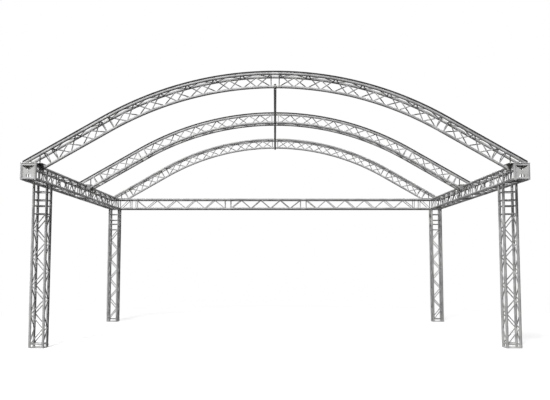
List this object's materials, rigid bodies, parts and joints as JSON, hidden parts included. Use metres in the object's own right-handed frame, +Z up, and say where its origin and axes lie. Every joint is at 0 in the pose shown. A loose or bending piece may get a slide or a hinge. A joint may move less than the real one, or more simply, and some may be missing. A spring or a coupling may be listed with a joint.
{
  "type": "arched truss stage roof",
  "caption": "Open stage roof frame: box truss legs and beams carry arched triangular trusses joined by a clamped ridge tube.",
  "frame": {"origin": "on the floor, in the middle of the plan", "axes": "+X to the right along the span of the arches, +Y to the rear, +Z up"},
  "size_m": [8.79, 7.04, 4.8495],
  "materials": {
    "mill_aluminium": "mill finish extruded tube",
    "zinc_plated_steel": "zinc plated"
  },
  "bodies": {
    "frame": {"base_plate_front_left": "mill_aluminium", "base_plate_front_right": "mill_aluminium", "base_plate_rear_left": "mill_aluminium", "base_plate_rear_right": "mill_aluminium", "corner_block_front_left": "mill_aluminium", "corner_block_front_right": "mill_aluminium", "corner_block_rear_left": "mill_aluminium", "corner_block_rear_right": "mill_aluminium", "end_box_left": "mill_aluminium", "end_box_right": "mill_aluminium", "front_arch_curve_left": "mill_aluminium", "front_arch_curve_right": "mill_aluminium", "front_arch_foot_left": "mill_aluminium", "front_arch_foot_right": "mill_aluminium", "front_arch_straight_left": "mill_aluminium", "front_arch_straight_right": "mill_aluminium", "front_rail_left": "mill_aluminium", "front_rail_right": "mill_aluminium", "leg_truss_front_left": "mill_aluminium", "leg_truss_front_right": "mill_aluminium", "leg_truss_rear_left": "mill_aluminium", "leg_truss_rear_right": "mill_aluminium", "middle_arch_curve_left": "mill_aluminium", "middle_arch_curve_right": "mill_aluminium", "middle_arch_foot_left": "mill_aluminium", "middle_arch_foot_right": "mill_aluminium", "middle_arch_straight_left": "mill_aluminium", "middle_arch_straight_right": "mill_aluminium", "middle_rail_left": "mill_aluminium", "middle_rail_right": "mill_aluminium", "rear_arch_curve_left": "mill_aluminium", "rear_arch_curve_right": "mill_aluminium", "rear_arch_foot_left": "mill_aluminium", "rear_arch_foot_right": "mill_aluminium", "rear_arch_straight_left": "mill_aluminium", "rear_arch_straight_right": "mill_aluminium", "rear_rail_left": "mill_aluminium", "rear_rail_right": "mill_aluminium", "rear_truss_left": "mill_aluminium", "rear_truss_middle": "mill_aluminium", "rear_truss_right": "mill_aluminium", "ridge_strut_front": "mill_aluminium", "ridge_strut_rear": "mill_aluminium", "seat_truss_left": "mill_aluminium", "seat_truss_right": "mill_aluminium", "side_truss_front_left": "mill_aluminium", "side_truss_front_right": "mill_aluminium", "side_truss_rear_left": "mill_aluminium", "side_truss_rear_right": "mill_aluminium"},
    "jaw_front_strut_front": {"clamp_jaw_front_strut_front": "mill_aluminium"},
    "bolt_front_strut_front": {"clamp_bolt_front_strut_front": "zinc_plated_steel"},
    "jaw_front_strut_rear": {"clamp_jaw_front_strut_rear": "mill_aluminium"},
    "bolt_front_strut_rear": {"clamp_bolt_front_strut_rear": "zinc_plated_steel"},
    "jaw_rear_strut_front": {"clamp_jaw_rear_strut_front": "mill_aluminium"},
    "bolt_rear_strut_front": {"clamp_bolt_rear_strut_front": "zinc_plated_steel"},
    "jaw_rear_strut_rear": {"clamp_jaw_rear_strut_rear": "mill_aluminium"},
    "bolt_rear_strut_rear": {"clamp_bolt_rear_strut_rear": "zinc_plated_steel"}
  },
  "joints": [
    {"name": "jaw_hinge_front_strut_front", "type": "hinge", "parent": "frame", "child": "jaw_front_strut_front", "pos_m": [0, -3.375, 4.54494], "axis": [1, 0, 0], "range_deg": [0, 40]},
    {"name": "bolt_swing_front_strut_front", "type": "hinge", "parent": "frame", "child": "bolt_front_strut_front", "pos_m": [0, -3.35, 4.6386], "axis": [-1, 0, 0], "range_deg": [0, 160]},
    {"name": "jaw_hinge_front_strut_rear", "type": "hinge", "parent": "frame", "child": "jaw_front_strut_rear", "pos_m": [0, -0.1195, 4.54494], "axis": [-1, 0, 0], "range_deg": [0, 40]},
    {"name": "bolt_swing_front_strut_rear", "type": "hinge", "parent": "frame", "child": "bolt_front_strut_rear", "pos_m": [0, -0.1445, 4.6386], "axis": [1, 0, 0], "range_deg": [0, 160]},
    {"name": "jaw_hinge_rear_strut_front", "type": "hinge", "parent": "frame", "child": "jaw_rear_strut_front", "pos_m": [0, 0.1195, 4.54494], "axis": [1, 0, 0], "range_deg": [0, 40]},
    {"name": "bolt_swing_rear_strut_front", "type": "hinge", "parent": "frame", "child": "bolt_rear_strut_front", "pos_m": [0, 0.1445, 4.6386], "axis": [-1, 0, 0], "range_deg": [0, 160]},
    {"name": "jaw_hinge_rear_strut_rear", "type": "hinge", "parent": "frame", "child": "jaw_rear_strut_rear", "pos_m": [0, 3.375, 4.54494], "axis": [-1, 0, 0], "range_deg": [0, 40]},
    {"name": "bolt_swing_rear_strut_rear", "type": "hinge", "parent": "frame", "child": "bolt_rear_strut_rear", "pos_m": [0, 3.35, 4.6386], "axis": [1, 0, 0], "range_deg": [0, 160]}
  ],
  "couplings": [
    {"joint": "bolt_swing_front_strut_front", "follows": "jaw_hinge_front_strut_front", "ratio": 4},
    {"joint": "bolt_swing_front_strut_rear", "follows": "jaw_hinge_front_strut_rear", "ratio": 4},
    {"joint": "bolt_swing_rear_strut_front", "follows": "jaw_hinge_rear_strut_front", "ratio": 4},
    {"joint": "bolt_swing_rear_strut_rear", "follows": "jaw_hinge_rear_strut_rear", "ratio": 4}
  ]
}
